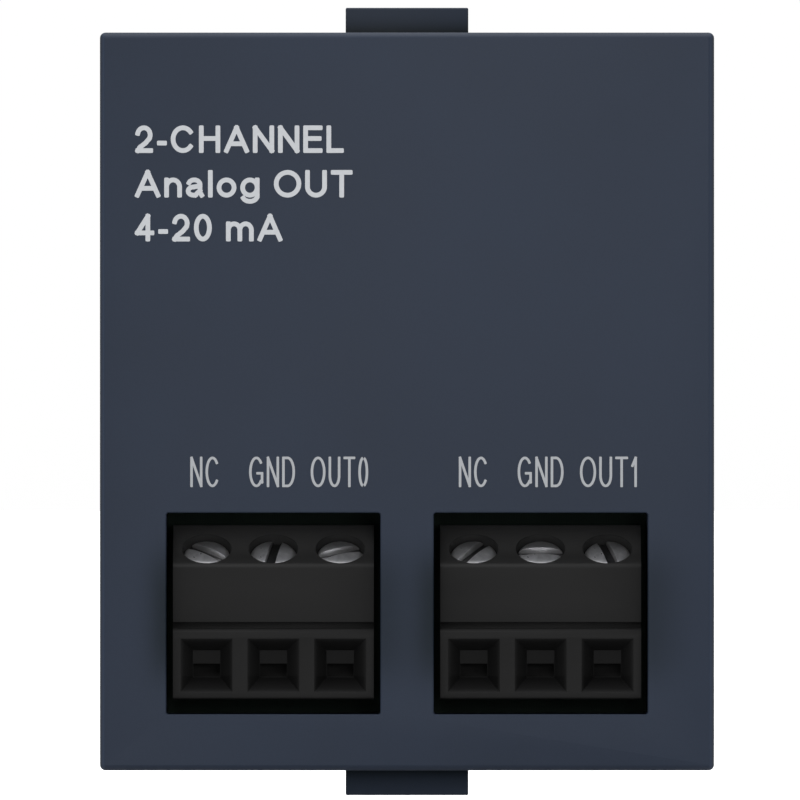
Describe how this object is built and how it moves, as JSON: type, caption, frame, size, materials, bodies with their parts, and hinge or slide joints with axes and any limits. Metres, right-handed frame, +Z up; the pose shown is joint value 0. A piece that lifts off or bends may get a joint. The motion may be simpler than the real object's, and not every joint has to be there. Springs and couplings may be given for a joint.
{
  "type": "plc module",
  "caption": "Plug-in analog output module for a small controller: flat housing with two recessed screw terminal blocks, snap latches above and below, and a rear header.",
  "frame": {"origin": "centre of the flat rear seating face, where the module rests on its host", "axes": "+Z up, +Y out of the rear face towards the host, -Y out of the printed front, +X to the right seen from the front"},
  "size_m": [0.035, 0.0166, 0.0452],
  "materials": {
    "housing": "fine matt texture",
    "terminal_black": "satin",
    "screw_steel": "plated",
    "cage_steel": "plated",
    "tinned_copper": "tin plated",
    "header_black": "satin",
    "pin_gold": "gold plated",
    "board_green": "solder mask",
    "chip_black": "moulded epoxy",
    "ferrite": "matt",
    "capacitor_yellow": "satin"
  },
  "bodies": {
    "housing": {"front_cover": "housing", "rear_cover": "housing", "circuit_board": "board_green", "terminal_block_left": "terminal_black", "terminal_block_right": "terminal_black", "host_connector": "header_black", "contact_bar_1": "tinned_copper", "contact_bar_2": "tinned_copper", "contact_bar_3": "tinned_copper", "contact_bar_4": "tinned_copper", "contact_bar_5": "tinned_copper", "contact_bar_6": "tinned_copper", "host_pin_01": "pin_gold", "host_pin_02": "pin_gold", "host_pin_03": "pin_gold", "host_pin_04": "pin_gold", "host_pin_05": "pin_gold", "host_pin_06": "pin_gold", "host_pin_07": "pin_gold", "host_pin_08": "pin_gold", "host_pin_09": "pin_gold", "host_pin_10": "pin_gold", "transformer": "ferrite", "digital_isolator": "chip_black", "converter_chip": "chip_black", "output_amplifier_1": "chip_black", "output_amplifier_2": "chip_black", "regulator_chip": "chip_black", "power_inductor": "ferrite", "tantalum_capacitor_1": "capacitor_yellow", "tantalum_capacitor_2": "capacitor_yellow"},
    "top_latch": {"top_latch": "housing"},
    "bottom_latch": {"bottom_latch": "housing"},
    "screw_1": {"terminal_screw_1": "screw_steel"},
    "cage_1": {"clamp_cage_1": "cage_steel"},
    "screw_2": {"terminal_screw_2": "screw_steel"},
    "cage_2": {"clamp_cage_2": "cage_steel"},
    "screw_3": {"terminal_screw_3": "screw_steel"},
    "cage_3": {"clamp_cage_3": "cage_steel"},
    "screw_4": {"terminal_screw_4": "screw_steel"},
    "cage_4": {"clamp_cage_4": "cage_steel"},
    "screw_5": {"terminal_screw_5": "screw_steel"},
    "cage_5": {"clamp_cage_5": "cage_steel"},
    "screw_6": {"terminal_screw_6": "screw_steel"},
    "cage_6": {"clamp_cage_6": "cage_steel"}
  },
  "joints": [
    {"name": "top_latch_flex", "type": "hinge", "parent": "housing", "child": "top_latch", "pos_m": [0, -0.0102, 0.02045], "axis": [-1, 0, 0], "range_deg": [0, 13], "stiffness_Nm_per_rad": 0.03},
    {"name": "bottom_latch_flex", "type": "hinge", "parent": "housing", "child": "bottom_latch", "pos_m": [0, -0.0102, -0.02045], "axis": [1, 0, 0], "range_deg": [0, 13], "stiffness_Nm_per_rad": 0.03},
    {"name": "screw_1_turn", "type": "hinge", "parent": "housing", "child": "screw_1", "pos_m": [-0.01143, -0.01064, -0.0084], "axis": [0, 0.5736, -0.8192], "range_deg": [0, 1080]},
    {"name": "cage_1_rise", "type": "slide", "parent": "housing", "child": "cage_1", "axis": [0, -0.5736, 0.8192], "range_m": [0, 0.0012]},
    {"name": "screw_2_turn", "type": "hinge", "parent": "housing", "child": "screw_2", "pos_m": [-0.00762, -0.01064, -0.0084], "axis": [0, 0.5736, -0.8192], "range_deg": [0, 1080]},
    {"name": "cage_2_rise", "type": "slide", "parent": "housing", "child": "cage_2", "axis": [0, -0.5736, 0.8192], "range_m": [0, 0.0012]},
    {"name": "screw_3_turn", "type": "hinge", "parent": "housing", "child": "screw_3", "pos_m": [-0.00381, -0.01064, -0.0084], "axis": [0, 0.5736, -0.8192], "range_deg": [0, 1080]},
    {"name": "cage_3_rise", "type": "slide", "parent": "housing", "child": "cage_3", "axis": [0, -0.5736, 0.8192], "range_m": [0, 0.0012]},
    {"name": "screw_4_turn", "type": "hinge", "parent": "housing", "child": "screw_4", "pos_m": [0.00381, -0.01064, -0.0084], "axis": [0, 0.5736, -0.8192], "range_deg": [0, 1080]},
    {"name": "cage_4_rise", "type": "slide", "parent": "housing", "child": "cage_4", "axis": [0, -0.5736, 0.8192], "range_m": [0, 0.0012]},
    {"name": "screw_5_turn", "type": "hinge", "parent": "housing", "child": "screw_5", "pos_m": [0.00762, -0.01064, -0.0084], "axis": [0, 0.5736, -0.8192], "range_deg": [0, 1080]},
    {"name": "cage_5_rise", "type": "slide", "parent": "housing", "child": "cage_5", "axis": [0, -0.5736, 0.8192], "range_m": [0, 0.0012]},
    {"name": "screw_6_turn", "type": "hinge", "parent": "housing", "child": "screw_6", "pos_m": [0.01143, -0.01064, -0.0084], "axis": [0, 0.5736, -0.8192], "range_deg": [0, 1080]},
    {"name": "cage_6_rise", "type": "slide", "parent": "housing", "child": "cage_6", "axis": [0, -0.5736, 0.8192], "range_m": [0, 0.0012]}
  ],
  "couplings": [
    {"joint": "screw_1_turn", "follows": "cage_1_rise", "rad_per_m": 15708},
    {"joint": "screw_2_turn", "follows": "cage_2_rise", "rad_per_m": 15708},
    {"joint": "screw_3_turn", "follows": "cage_3_rise", "rad_per_m": 15708},
    {"joint": "screw_4_turn", "follows": "cage_4_rise", "rad_per_m": 15708},
    {"joint": "screw_5_turn", "follows": "cage_5_rise", "rad_per_m": 15708},
    {"joint": "screw_6_turn", "follows": "cage_6_rise", "rad_per_m": 15708}
  ]
}
